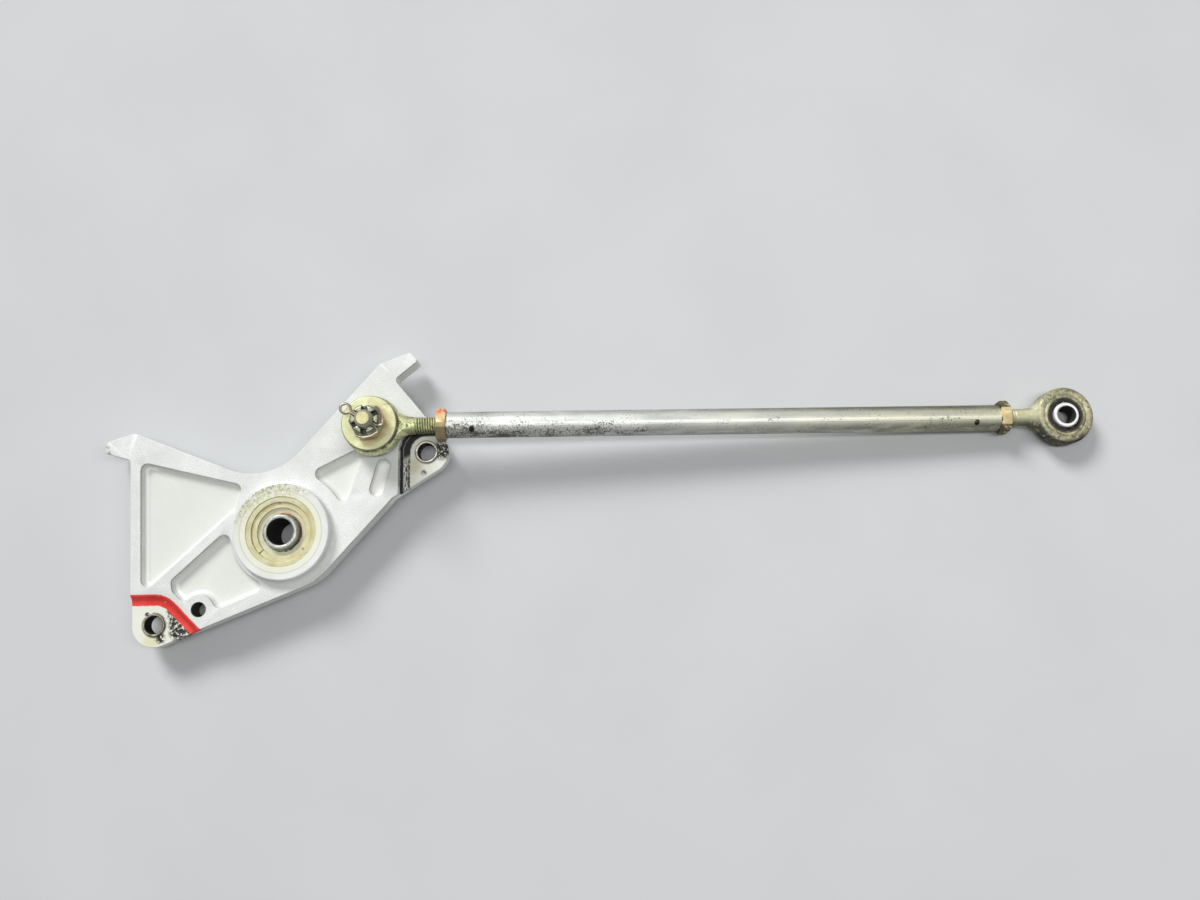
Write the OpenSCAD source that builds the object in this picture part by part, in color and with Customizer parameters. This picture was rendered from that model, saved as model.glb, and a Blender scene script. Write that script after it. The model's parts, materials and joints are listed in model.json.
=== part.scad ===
// Aircraft control bellcrank with a push-pull rod bolted to its upper arm.
// The pivot axis is Z, the plate lies in XY about z = 0 and the rod runs along +X.

/* [Plate] */
// Thickness of the machined plate
plate_t = 8; // [7:0.5:10]
// Radius of the outline where it runs round the hub
hub_r = 21; // [20:0.5:24]
// Direction of the left edge, from the lower lug upwards
left_edge_a = 93; // [90:0.5:95]
// Direction of the lower right edge, from the hub to the right lug
right_edge_a = 47.5; // [45:0.5:49]
// Radius of the hollow curve between the two upper arms
saddle_r = 23; // [18:1:26]
// Low corner of that hollow curve before it is rounded, along X
saddle_x = -6; // [-8:0.5:-4]
// Low corner of that hollow curve before it is rounded, along Y
saddle_y = 17.6; // [17:0.1:19]
// Depth of each milled pocket
pocket_depth = 3; // [2:0.25:3.25]
// Floor fillet of each pocket
pocket_fillet = 2.2; // [1.5:0.1:2.2]
// Corner radius of each pocket, seen from above
pocket_corner_r = 2.5; // [2.4:0.1:3]
// Rim left beside the pocket along the left edge
rim_w = 3.8; // [3:0.1:5]
// Width of the rib between the hub and the lower lug
rib_w = 3.4; // [2.5:0.1:5]
// Wall left round the rig pin hole
rig_wall = 2.8; // [2.2:0.1:3.2]

/* [Pivot] */
// Diameter of the raised boss
boss_d = 35; // [33:0.5:36]
// Height of the boss above each face of the plate
boss_h = 4; // [3:0.25:5]
// Fillet at the foot of the boss
boss_fillet = 1.5; // [0.5:0.1:1.8]
// Outside diameter of the ball bearing
bearing_d = 25.4; // [23:0.1:27]
// How far the bearing lies below the face of the boss
bearing_sink = 0.3; // [0.1:0.1:0.6]
// Bore of the pivot sleeve
pivot_bore_d = 9.525; // [8:0.025:10]
// Outside diameter of the pivot sleeve
sleeve_d = 12.7; // [12:0.1:13]
// How far the sleeve stands out of the boss
sleeve_proud = 0.8; // [0.4:0.1:1.5]
// Ball diameter of the pivot bearing as a share of the space between sleeve and boss
pivot_ball_share = 0.625; // [0.5:0.005:0.65]

/* [Lugs] */
// Distance from the pivot to the lower lug
lower_arm = 56.5; // [52:0.5:62]
// Bearing angle of the lower lug about the pivot
lower_a = 214.7; // [212:0.1:217]
// Distance from the pivot to the right lug
right_arm = 59; // [57:0.5:62]
// Bearing angle of the right lug about the pivot
right_a = 29.1; // [28:0.1:31]
// Radius of the round lug ends
lug_r = 8; // [7.5:0.1:8.5]
// Depth of the step from the plate face to the lug face
lug_step = 1.5; // [0.8:0.1:2]
// Radius of the step round each lug hole
seat_r = 10.3; // [9.5:0.1:11]
// Fillet at the foot of the step
seat_fillet = 3; // [2:0.1:4]
// Bore of the lug bushes
lug_bore_d = 6.35; // [5:0.05:6.5]
// Outside diameter of the lug bushes
bush_d = 7.94; // [7.6:0.02:9]
// How far a bush stands out of each lug face
bush_proud = 0.7; // [0.3:0.1:1]
// Chamfer at the mouths of a bush
bush_chamfer = 0.3; // [0.1:0.05:0.35]
// Diameter of the rig pin hole
rig_d = 5.2; // [4:0.1:5.6]
// Distance from the pivot to the rig pin hole
rig_arm = 40.4; // [39.5:0.1:41.5]
// Bearing angle of the rig pin hole about the pivot
rig_a = 221.9; // [221:0.1:223]

/* [Stop hooks] */
// Inner corner of the left hook, height above the pivot
left_hook_y = 28; // [26:0.5:29]
// Reach of the left hook
left_hook_len = 10; // [8:0.5:12]
// Tip height of the left hook
left_hook_tip = 3.4; // [2.5:0.1:4.5]
// Crest of the left hook from its inner corner, along X
left_crest_x = 1.2; // [0.5:0.1:2]
// Crest of the left hook from its inner corner, along Y
left_crest_y = 10.1; // [9.5:0.1:11]
// Tip of the right hook on its inner edge, along X
right_hook_x = 48.4; // [47.5:0.1:49.5]
// Tip of the right hook on its inner edge, along Y
right_hook_y = 63.2; // [62:0.1:64.5]
// Width of the right hook across its tip
right_hook_tip = 4.4; // [3:0.1:5]
// Shoulder of the right hook where the long upper edge ends, along X
right_shoulder_x = 34; // [33:0.1:35]
// Shoulder of the right hook where the long upper edge ends, along Y
right_shoulder_y = 62.2; // [61.5:0.1:63]

/* [Attach bolt] */
// Distance from the pivot to the bolt of the rod
rod_arm = 50; // [48:0.5:51]
// Bearing angle of the bolt about the pivot
rod_a = 48.6; // [47:0.1:50]
// Diameter of the bolt
bolt_d = 6.35; // [5.5:0.05:6.5]
// Width across flats of the bolt head and the nuts
hex_af = 11.1; // [10.5:0.1:11.5]
// Height of the bolt head
head_h = 4; // [3:0.1:5]
// Thickness of the thin washers
thin_washer_t = 0.8; // [0.5:0.1:1.2]
// Outside diameter of the thin washers
thin_washer_d = 12.7; // [11.5:0.1:14]
// Thickness of the large washer
large_washer_t = 1.6; // [1:0.1:2]
// Outside diameter of the large washer
large_washer_d = 20; // [17:0.5:22]
// Height of the castle nut
castle_h = 7.5; // [6.5:0.1:9]
// Depth of the castle slots
slot_h = 2.9; // [2.4:0.1:3.2]
// Width of the castle slots
slot_w = 2; // [1.8:0.1:2.2]
// Length of bolt past the castle nut
bolt_past = 2; // [1:0.1:3]
// Wire diameter of the cotter pin
cotter_d = 1.5; // [1:0.1:1.6]
// Direction in which the cotter legs leave the bolt
cotter_a = -31; // [-45:1:-15]

/* [Push-pull rod] */
// Distance between the two eyes
rod_len = 255; // [200:1:300]
// Outside diameter of the tube
tube_d = 9.525; // [9:0.05:10.5]
// Distance from the left eye to the tube
left_gap = 26.8; // [25:0.1:30]
// Distance from the right eye to the tube
right_gap = 24.4; // [23:0.1:30]
// Thickness of the jam nuts
jam_t = 3.6; // [2.5:0.1:4.5]
// Thread diameter of the rod ends
thread_d = 6.35; // [5.5:0.05:6.5]
// Length of thread inside the tube
thread_in = 14; // [11:0.5:20]
// Diameter of the witness holes
witness_d = 1.5; // [1:0.1:2]
// Distance of a witness hole from the end of the tube
witness_at = 9.2; // [7:0.1:11]
// Angle of the witness holes from the top of the tube
witness_a = 28; // [0:1:45]

/* [Rod ends] */
// Diameter of the rod end head
eye_d = 21.2; // [20.5:0.1:22]
// Thickness of the rod end head
eye_t = 7.1; // [6.8:0.1:7.4]
// Radius of the spherical race
race_r = 6.84; // [6.8:0.01:6.9]
// Ball diameter of the rod end bearing
eye_ball_d = 2.38; // [2.3:0.01:2.4]
// Number of balls in a rod end
eye_balls = 13; // [10:1:14]
// Width of the rod end inner ring
ring_w = 9.5; // [9.2:0.1:10.5]
// Outside diameter of the rod end inner ring
ring_d = 9.2; // [9.1:0.05:9.4]
// Bore of the right rod end
eye_bore_d = 6.35; // [5.8:0.05:6.4]
// Fillet between the round head and the shank, seen from above
neck_fillet = 8; // [4:0.5:9]

/* [Hidden] */
$fn = 72;
// clearance of a running or bolted fit, on the radius
fit = 0.04;
// extra length of a cutter past a face
over = 0.5;
// rounding steps of a pocket's corner, of a corner of the outline and of a fillet
corner_n = 6;
outline_n = 16;
fillet_n = 5;
// edge break of turned pieces
edge = 0.4;
// shield, snap ring and seal sections of the bearings
shield_t = 0.7;
snap_t = 1;
snap_sink = 0.8;
snap_gap = 0.5;
seal_t = 0.6;
// flat land between the hexagon of the castle nut and the floor of its slots
castle_land = 0.25;
// height of the fillet left between a pocket and the foot of the boss
pocket_land = 0.4;

function polar(r, a) = [r * cos(a), r * sin(a)];
// A line is [point, direction angle]; side() is the line that touches a circle on its outer side.
function side(c, r, normal_a) = [c + polar(r, normal_a), normal_a + 90];
function through(p, a) = [p, a];
function towards(p, q) = [p, atan2(q.y - p.y, q.x - p.x)];
function shift(l, d) = [l[0] + polar(d, l[1] + 90), l[1]];
function cross2(a, b) = a.x * b.y - a.y * b.x;
function meet(l, m) =
    let (u = polar(1, l[1]), v = polar(1, m[1]))
    l[0] + u * (cross2(m[0] - l[0], v) / cross2(u, v));
function corner(l, m, r) = let (p = meet(l, m)) [p.x, p.y, r];
function at(p, r) = [p.x, p.y, r];

// Rounded outline: each corner [x, y, r] becomes an arc of n steps, moved inward by d.
function xy(v) = [v.x, v.y];
function turn(a) = a > 180 ? turn(a - 360) : a <= -180 ? turn(a + 360) : a;
function arc_points(p, u_in, u_out, r, n) =
    let (
        a_in = atan2(u_in.y, u_in.x),
        t = turn(atan2(u_out.y, u_out.x) - a_in),
        s = sign(t),
        c = p - u_in * (r * abs(tan(t / 2))) + polar(r, a_in + 90 * s)
    )
    [for (k = [0 : n]) c + polar(r, a_in - 90 * s + t * k / n)];
function unit(v) = v / norm(v);
function inset_outline(v, d = 0, n = corner_n) =
    let (
        m = len(v),
        l = [for (i = [0 : m - 1]) shift(towards(xy(v[i]), xy(v[(i + 1) % m])), d)]
    )
    [for (i = [0 : m - 1])
        let (
            a = l[(i + m - 1) % m],
            b = l[i],
            left = turn(b[1] - a[1]) > 0,
            r = max(0.15, v[i].z + (left ? -d : d))
        )
        each arc_points(meet(a, b), polar(1, a[1]), polar(1, b[1]), r, n)];

// A milled recess: straight wall, then a quarter-round or part-round fillet to a flat floor. Floor and
// lid are fans of triangles round a point that sees every corner, the middle if none is given.
function middle(v) = xy([for (p = v) 1] * v) / len(v);
module recess(v, top, depth, fillet, centre) {
    fan = is_undef(centre) ? middle(v) : centre;
    phi = depth < fillet ? acos(1 - depth / fillet) : 90;
    floor_z = top - depth;
    m = (corner_n + 1) * len(v);
    rings = concat(
        [[0, top + over]],
        [for (k = [0 : fillet_n])
            let (p = phi * (1 - k / fillet_n))
            [fillet * (sin(phi) - sin(p)), floor_z + fillet * (1 - cos(p))]]
    );
    walls = [for (q = rings) for (p = inset_outline(v, q[0])) [p.x, p.y, q[1]]];
    last = len(rings) - 1;
    lid = len(walls);
    points = concat(walls, [[fan.x, fan.y, top + over], [fan.x, fan.y, floor_z]]);
    faces = concat(
        [for (i = [0 : m - 1]) [lid, (i + 1) % m, i]],
        [for (i = [0 : m - 1]) [lid + 1, last * m + i, last * m + (i + 1) % m]],
        [for (k = [0 : last - 1]) for (i = [0 : m - 1])
            [k * m + i, k * m + (i + 1) % m, (k + 1) * m + (i + 1) % m, (k + 1) * m + i]]
    );
    polyhedron(points, faces, convexity = 6);
}

// Places
pivot = [0, 0];
saddle_at = [saddle_x, saddle_y];
left_crest = [left_crest_x, left_crest_y];
right_hook_at = [right_hook_x, right_hook_y];
right_shoulder = [right_shoulder_x, right_shoulder_y];
lower = polar(lower_arm, lower_a);
right = polar(right_arm, right_a);
bolt = polar(rod_arm, rod_a);
rig = polar(rig_arm, rig_a);
top_z = plate_t / 2;
boss_z = top_z + boss_h;
lug_z = top_z - lug_step;
bush_z = lug_z + bush_proud;
bearing_z = boss_z - bearing_sink;
sleeve_z = boss_z + sleeve_proud;
head_z = -top_z - thin_washer_t - head_h;
eye_z = top_z + thin_washer_t + ring_w / 2;
ring_top_z = eye_z + ring_w / 2;
nut_z = ring_top_z + large_washer_t;
castle_z = nut_z + castle_h;
tip_z = castle_z + bolt_past;
cotter_z = castle_z - slot_h / 2;
rest_z = min(head_z, -sleeve_z);
right_eye_z = rest_z + ring_w / 2;
slope = asin((eye_z - right_eye_z) / rod_len);
right_eye = [bolt.x + rod_len * cos(slope), bolt.y, right_eye_z];
hex_r = hex_af / 2 / cos(30);

// Edge lines of the plate, walked with the metal on the left
lower_edge_n = lower_a - 180 - asin((hub_r - lug_r) / lower_arm) - 90;
right_edge_n = right_edge_a - 90;
tongue_edge_n = right_a - 87.7;
flank_n = right_a + 10;
left_line = side(lower, lug_r, left_edge_a + 90);
lower_line = side(lower, lug_r, lower_edge_n);
right_line = side(pivot, hub_r, right_edge_n);
tongue_line = side(right, lug_r, tongue_edge_n);
flank_line = side(right, lug_r, flank_n);
right_hook_a = 39;
left_hook_in = meet(left_line, through([0, left_hook_y], 0));
left_hook_out = left_hook_in + polar(left_hook_len, 163.5);
right_hook_end = right_hook_at + polar(right_hook_tip, right_hook_a + 95);
plate_corners = [
    corner(left_line, lower_line, lug_r),
    corner(lower_line, side(pivot, hub_r, lower_edge_n + 1), hub_r),
    corner(side(pivot, hub_r, lower_edge_n + 1), right_line, hub_r),
    corner(right_line, tongue_line, 1),
    corner(tongue_line, flank_line, lug_r),
    corner(flank_line, through(right_hook_at, right_hook_a), 1.8),
    at(right_hook_at, 1),
    at(right_hook_end, 1),
    at(right_shoulder, 3),
    at(saddle_at, saddle_r),
    at(left_hook_in + left_crest, 3.5),
    at(left_hook_out + [0.3, left_hook_tip + 0.6], 1.8),
    at(left_hook_out, 1),
    at(left_hook_in, 1.4)
];

// Pocket corners, from the edges of the plate, the rib and the hub
hub_side_r = boss_d / 2 + boss_fillet + pocket_land;
rib_a = atan2(-lower.y, -lower.x) + 7.6;
rib_line = through(polar(hub_side_r - pocket_land, 159.5), rib_a);
upper_rib = shift(rib_line, rib_w / 2);
lower_rib = shift(rib_line, -rib_w / 2);
crest = left_hook_in + left_crest;
left_pocket = [
    corner(shift(left_line, rim_w), upper_rib, pocket_corner_r),
    corner(upper_rib, side(pivot, hub_side_r, 167), pocket_corner_r),
    corner(side(pivot, hub_side_r, 167), through(crest + [6, -11.6], -14), pocket_corner_r),
    corner(through(crest + [6, -11.6], -14), shift(left_line, rim_w), pocket_corner_r)
];
rig_keep_r = rig_d / 2 + rig_wall;
seat_n = 45;
lower_pocket_line = shift(lower_line, 4.4);
slant_line = side(lower, seat_r + 2.6, seat_n);
blunt_line = side(lower, seat_r - 1.9, 10);
lower_pocket = [
    corner(blunt_line, slant_line, pocket_corner_r),
    corner(slant_line, side(rig, rig_keep_r, 123), pocket_corner_r),
    corner(side(rig, rig_keep_r, 123), side(rig, rig_keep_r, 30), rig_keep_r),
    corner(side(rig, rig_keep_r, 30), lower_pocket_line, pocket_corner_r),
    corner(lower_pocket_line, side(pivot, hub_side_r, 240), pocket_corner_r),
    corner(side(pivot, hub_side_r, 240), side(pivot, hub_side_r, 196), hub_side_r),
    corner(side(pivot, hub_side_r, 196), lower_rib, pocket_corner_r),
    corner(lower_rib, blunt_line, pocket_corner_r)
];
lower_pocket_mid = polar(hub_side_r + 10.5, 206);
arm_hub_r = hub_side_r + 3.2;
arm_top = through(polar(25.2, 64.8), 26);
arm_side = through(bolt + [-4.8, -10.6], 71.4);
arm_pocket = [
    corner(arm_top, side(pivot, arm_hub_r, 53), pocket_corner_r),
    corner(side(pivot, arm_hub_r, 53), side(pivot, arm_hub_r, 37), arm_hub_r),
    corner(side(pivot, arm_hub_r, 37), arm_side, pocket_corner_r),
    corner(arm_side, arm_top, pocket_corner_r)
];
slot_low = right + [-18, -13.5];
slot_high = right + [-15.6, -5];
slot_half = 2.65;
slot_axis = towards(slot_low, slot_high);
slot_u = polar(slot_half, slot_axis[1]);
slot_v = polar(slot_half, slot_axis[1] - 90);
slot_pocket = [
    at(slot_low - slot_u - slot_v, slot_half * 0.98),
    at(slot_low - slot_u + slot_v, slot_half * 0.98),
    at(slot_high + slot_u + slot_v, slot_half * 0.98),
    at(slot_high + slot_u - slot_v, slot_half * 0.98)
];
far = 40;
lower_seat = [
    corner(side(lower, far, 180), side(lower, far, 270), 1),
    corner(side(lower, far, 270), side(lower, seat_r, seat_n), 1),
    corner(side(lower, seat_r, seat_n), side(lower, seat_r, 90), seat_r),
    corner(side(lower, seat_r, 90), side(lower, far, 180), 1)
];
right_seat = [
    corner(side(right, seat_r, 180), side(right, far, 270), 1),
    corner(side(right, far, 270), side(right, far, 0), 1),
    corner(side(right, far, 0), side(right, seat_r, 90), 1),
    corner(side(right, seat_r, 90), side(right, seat_r, 180), seat_r)
];

// General shapes
module both_faces() {
    children();
    mirror([0, 0, 1]) children();
}
module at_bolt(z) {
    translate([bolt.x, bolt.y, z]) children();
}
module rod_frame() {
    at_bolt(eye_z) rotate([0, slope, 0]) children();
}
module right_eye_frame() {
    rod_frame() translate([rod_len, 0, 0]) rotate([0, 0, 180]) children();
}
module hole(d, h) {
    cylinder(d = d, h = h, center = true);
}
module washer(d, bore, t) {
    difference() {
        cylinder(d = d, h = t);
        translate([0, 0, -over]) cylinder(d = bore, h = t + 2 * over);
    }
}
// Hexagon with turned corners, a flat or a corner towards +Y
module hexagon(h, turned_low, turned_high) {
    c = hex_r - hex_af / 2;
    intersection() {
        cylinder(r = hex_r, h = h, $fn = 6);
        rotate_extrude() polygon([
            [0, 0], [turned_low ? hex_af / 2 - 0.1 : hex_r, 0], [hex_r, turned_low ? c * 0.6 : 0],
            [hex_r, turned_high ? h - c * 0.6 : h], [turned_high ? hex_af / 2 - 0.1 : hex_r, h], [0, h]
        ]);
    }
}
// Balls on a circle round Z
module ball_ring(pitch_r, d, count) {
    for (k = [0 : count - 1])
        rotate([0, 0, 360 * k / count]) translate([pitch_r, 0, 0]) sphere(d = d);
}
// Ring with a groove for balls in its outer or inner wall
module race_groove(pitch_r, d) {
    rotate_extrude() translate([pitch_r, 0]) circle(r = d / 2 + fit);
}

// Bellcrank plate
module boss_solid() {
    n = 6;
    foot = boss_d / 2 + boss_fillet;
    rotate_extrude() polygon(concat(
        [[0, 0], [foot, 0], [foot, top_z]],
        [for (k = [1 : n])
            [foot - boss_fillet * sin(90 * k / n), top_z + boss_fillet * (1 - cos(90 * k / n))]],
        [[boss_d / 2, boss_z - edge], [boss_d / 2 - edge, boss_z], [0, boss_z]]
    ));
}
module bellcrank_plate() {
    color("gainsboro") difference() {
        union() {
            difference() {
                translate([0, 0, -top_z])
                    linear_extrude(plate_t) polygon(inset_outline(plate_corners, 0, outline_n));
                both_faces() {
                    recess(left_pocket, top_z, pocket_depth, pocket_fillet);
                    recess(lower_pocket, top_z, pocket_depth, pocket_fillet, lower_pocket_mid);
                    recess(arm_pocket, top_z, pocket_depth, pocket_fillet);
                    recess(slot_pocket, top_z, pocket_depth, min(pocket_fillet, slot_half - 0.4));
                    recess(lower_seat, top_z, lug_step, seat_fillet);
                    recess(right_seat, top_z, lug_step, seat_fillet);
                }
            }
            both_faces() boss_solid();
        }
        hole(bearing_d, 2 * boss_z + 2 * over);
        translate([lower.x, lower.y, 0]) hole(bush_d, plate_t + 2 * over);
        translate([right.x, right.y, 0]) hole(bush_d, plate_t + 2 * over);
        translate([rig.x, rig.y, 0]) hole(rig_d, plate_t + 2 * over);
        at_bolt(0) hole(bolt_d + 2 * fit, plate_t + 2 * over);
    }
}

// Lug bushes
module lug_bush() {
    r = lug_bore_d / 2;
    c = bush_chamfer;
    rotate_extrude() polygon([
        [r, -bush_z + c], [r + c, -bush_z], [bush_d / 2, -bush_z],
        [bush_d / 2, bush_z], [r + c, bush_z], [r, bush_z - c]
    ]);
}
module lower_lug_bush() {
    color("silver") translate([lower.x, lower.y, 0]) lug_bush();
}
module right_lug_bush() {
    color("silver") translate([right.x, right.y, 0]) lug_bush();
}

// Pivot bearing
race_space = (bearing_d - sleeve_d) / 2;
pivot_ball_d = pivot_ball_share * race_space;
pivot_pitch_r = bearing_d / 2 - 0.33 * race_space - pivot_ball_d / 2;
pivot_balls = floor(2 * PI * pivot_pitch_r / (1.1 * pivot_ball_d));
snap_out_r = bearing_d / 2 - 0.3 * race_space;
snap_w = 0.315 * race_space;
shoulder_z = bearing_z - snap_sink - snap_t - shield_t;
inner_ring_z = shoulder_z - shield_t;
module pivot_bearing_outer_ring() {
    color("tan") difference() {
        rotate_extrude() polygon([
            [pivot_pitch_r + pivot_ball_d * 0.28, -shoulder_z], [snap_out_r, -shoulder_z],
            [snap_out_r, -bearing_z], [bearing_d / 2, -bearing_z],
            [bearing_d / 2, bearing_z], [snap_out_r, bearing_z],
            [snap_out_r, shoulder_z], [pivot_pitch_r + pivot_ball_d * 0.28, shoulder_z]
        ]);
        race_groove(pivot_pitch_r, pivot_ball_d);
    }
}
module pivot_shield() {
    translate([0, 0, shoulder_z]) washer(2 * snap_out_r, sleeve_d + 0.8, shield_t);
}
// Spring ring with a narrow gap at its lower left
module pivot_snap_ring() {
    translate([0, 0, shoulder_z + shield_t]) difference() {
        washer(2 * snap_out_r, 2 * (snap_out_r - snap_w), snap_t);
        rotate([0, 0, 225]) translate([snap_out_r - snap_w / 2, 0, snap_t / 2])
            cube([2 * snap_w, snap_gap, 2 * snap_t], center = true);
    }
}
module pivot_upper_shield() {
    color("khaki") pivot_shield();
}
module pivot_lower_shield() {
    color("khaki") mirror([0, 0, 1]) pivot_shield();
}
module pivot_upper_snap_ring() {
    color("goldenrod") pivot_snap_ring();
}
module pivot_lower_snap_ring() {
    color("goldenrod") mirror([0, 0, 1]) pivot_snap_ring();
}
module pivot_bearing_balls() {
    color("lightsteelblue") ball_ring(pivot_pitch_r, pivot_ball_d, pivot_balls);
}
module pivot_bearing_inner_ring() {
    color("lightsteelblue") difference() {
        translate([0, 0, -inner_ring_z])
            washer(2 * pivot_pitch_r - pivot_ball_d * 0.56, sleeve_d, 2 * inner_ring_z);
        race_groove(pivot_pitch_r, pivot_ball_d);
    }
}
module pivot_sleeve() {
    r = pivot_bore_d / 2;
    c = edge;
    color("whitesmoke") rotate_extrude() polygon([
        [r, -sleeve_z + c], [r + c, -sleeve_z], [sleeve_d / 2 - c, -sleeve_z],
        [sleeve_d / 2, -sleeve_z + c], [sleeve_d / 2, sleeve_z - c],
        [sleeve_d / 2 - c, sleeve_z], [r + c, sleeve_z], [r, sleeve_z - c]
    ]);
}

// Attach bolt and what it clamps
module attach_bolt() {
    color("tan") at_bolt(0) difference() {
        union() {
            translate([0, 0, head_z]) hexagon(head_h, true, false);
            rotate_extrude() polygon([
                [0, head_z + 1], [bolt_d / 2, head_z + 1], [bolt_d / 2, tip_z - 0.9],
                [bolt_d / 2 - 0.9, tip_z], [0, tip_z]
            ]);
        }
        translate([0, 0, cotter_z]) rotate([0, 90, cotter_a]) hole(cotter_d + 0.3, 2 * bolt_d);
    }
}
module under_head_washer() {
    color("tan") at_bolt(-top_z - thin_washer_t)
        washer(thin_washer_d, bolt_d + 2 * fit, thin_washer_t);
}
module spacer_washer() {
    color("tan") at_bolt(top_z) washer(thin_washer_d, bolt_d + 2 * fit, thin_washer_t);
}
module large_washer() {
    color("darkkhaki") at_bolt(ring_top_z) difference() {
        rotate_extrude() polygon([
            [0, 0], [large_washer_d / 2, 0], [large_washer_d / 2, large_washer_t - edge],
            [large_washer_d / 2 - edge, large_washer_t], [0, large_washer_t]
        ]);
        hole(bolt_d + 2 * fit, 4 * large_washer_t);
    }
}
module castle_nut() {
    hex_h = castle_h - slot_h - castle_land;
    color("darkkhaki") at_bolt(nut_z) difference() {
        union() {
            rotate([0, 0, cotter_a + 30]) hexagon(hex_h, true, true);
            rotate_extrude() polygon([
                [0, 1], [hex_af / 2 - 0.3, 1], [hex_af / 2 - 0.3, castle_h - 0.7],
                [hex_af / 2 - 0.9, castle_h], [0, castle_h]
            ]);
        }
        hole(bolt_d + 2 * fit, 4 * castle_h);
        for (k = [0 : 2])
            translate([0, 0, castle_h]) rotate([0, 0, cotter_a + 60 * k])
                cube([2 * hex_af, slot_w, 2 * slot_h], center = true);
    }
}
// Split pin: loop on one side, a leg bent round the nut each way on the other
module cotter_pin() {
    wrap_r = hex_af / 2 + cotter_d / 2;
    loop_r = cotter_d * 1.15;
    leg_d = cotter_d * 0.8;
    color("silver") at_bolt(cotter_z) rotate([0, 0, cotter_a]) {
        rotate([0, 90, 0]) translate([0, 0, -wrap_r - 0.2]) cylinder(d = cotter_d, h = 2 * wrap_r + 0.2);
        translate([-wrap_r - loop_r, 0, 0])
            rotate_extrude() translate([loop_r, 0]) circle(d = leg_d);
        rotate([0, 0, -88]) rotate_extrude(angle = 88) translate([wrap_r, 0]) circle(d = leg_d);
        rotate_extrude(angle = 80) translate([wrap_r, 0]) circle(d = leg_d);
    }
}

// Rod ends, each drawn with its eye at the origin, the bolt axis Z and the shank along +X
// The neck's fillet touches the head's circle at root_x and the shank at neck_x
neck_n = 6;
neck_drop = 0.15;
neck_x = sqrt(pow(eye_d / 2 + neck_fillet, 2) - pow(thread_d / 2 + neck_fillet, 2));
neck_turn = atan2(neck_x, thread_d / 2 + neck_fillet) + 3;
root_x = neck_x - neck_fillet * sin(neck_turn);
eye_pitch_r = race_r - fit - eye_ball_d / 2;
seal_out_r = sqrt(race_r * race_r - eye_t * eye_t / 4) + 0.05;
module eye_inner_ring(bore) {
    color("whitesmoke") difference() {
        rotate_extrude() polygon([
            [bore / 2, -ring_w / 2 + edge], [bore / 2 + edge, -ring_w / 2], [ring_d / 2 - edge, -ring_w / 2],
            [ring_d / 2, -ring_w / 2 + edge], [ring_d / 2, ring_w / 2 - edge],
            [ring_d / 2 - edge, ring_w / 2], [bore / 2 + edge, ring_w / 2], [bore / 2, ring_w / 2 - edge]
        ]);
        race_groove(eye_pitch_r, eye_ball_d);
    }
}
module eye_body(reach) {
    r = eye_d / 2;
    h = eye_t / 2;
    c = 0.7;
    difference() {
        union() {
            rotate_extrude() polygon([
                [0, -h], [r - c, -h], [r, -h + c], [r, h - c], [r - c, h], [0, h]
            ]);
            intersection() {
                rotate([0, 90, 0]) rotate_extrude() polygon(concat(
                    [[0, root_x]],
                    [for (k = [neck_n : -1 : 0])
                        let (a = neck_turn * k / neck_n)
                        [thread_d / 2 + neck_fillet * (1 - cos(a)), neck_x - neck_fillet * sin(a)]],
                    [[thread_d / 2, reach], [0, reach]]
                ));
                cube([3 * reach, 2 * eye_d, eye_t - 2 * neck_drop], center = true);
            }
        }
        sphere(r = race_r);
        hole(2 * seal_out_r, 2 * eye_t);
    }
}
module eye_seal() {
    translate([0, 0, eye_t / 2 - seal_t - 0.1]) washer(2 * seal_out_r, ring_d + 1.2, seal_t);
}
module jam_nut(place, spin) {
    translate([place, 0, 0]) rotate([0, 90, 0]) rotate([0, 0, spin]) difference() {
        hexagon(jam_t, true, true);
        hole(thread_d + 2 * fit, 4 * jam_t);
    }
}
module left_rod_end_inner_ring() {
    at_bolt(eye_z) eye_inner_ring(bolt_d + 2 * fit);
}
module left_rod_end_balls() {
    color("lightsteelblue") at_bolt(eye_z) ball_ring(eye_pitch_r, eye_ball_d, eye_balls);
}
module left_rod_end_body() {
    color("darkkhaki") rod_frame() eye_body(left_gap + thread_in);
}
module left_upper_seal() {
    color("dimgray") rod_frame() eye_seal();
}
module left_lower_seal() {
    color("dimgray") rod_frame() mirror([0, 0, 1]) eye_seal();
}
module left_jam_nut() {
    color("peru") rod_frame() jam_nut(left_gap - jam_t, 0);
}
module push_rod_tube() {
    len_t = rod_len - left_gap - right_gap;
    color("slategray") rod_frame() translate([left_gap, 0, 0]) difference() {
        rotate([0, 90, 0]) difference() {
            cylinder(d = tube_d, h = len_t);
            translate([0, 0, -over]) cylinder(d = thread_d + 2 * fit, h = len_t + 2 * over);
        }
        for (x = [witness_at, len_t - witness_at])
            translate([x, 0, 0]) rotate([witness_a, 0, 0]) cylinder(d = witness_d, h = tube_d);
    }
}
module right_jam_nut() {
    color("tan") right_eye_frame() jam_nut(right_gap - jam_t, 12);
}
module right_rod_end_body() {
    color("darkkhaki") right_eye_frame() eye_body(right_gap + thread_in);
}
module right_upper_seal() {
    color("dimgray") right_eye_frame() eye_seal();
}
module right_lower_seal() {
    color("dimgray") right_eye_frame() mirror([0, 0, 1]) eye_seal();
}
module right_rod_end_balls() {
    color("lightsteelblue") translate(right_eye) ball_ring(eye_pitch_r, eye_ball_d, eye_balls);
}
module right_rod_end_inner_ring() {
    translate(right_eye) eye_inner_ring(eye_bore_d);
}

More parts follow.
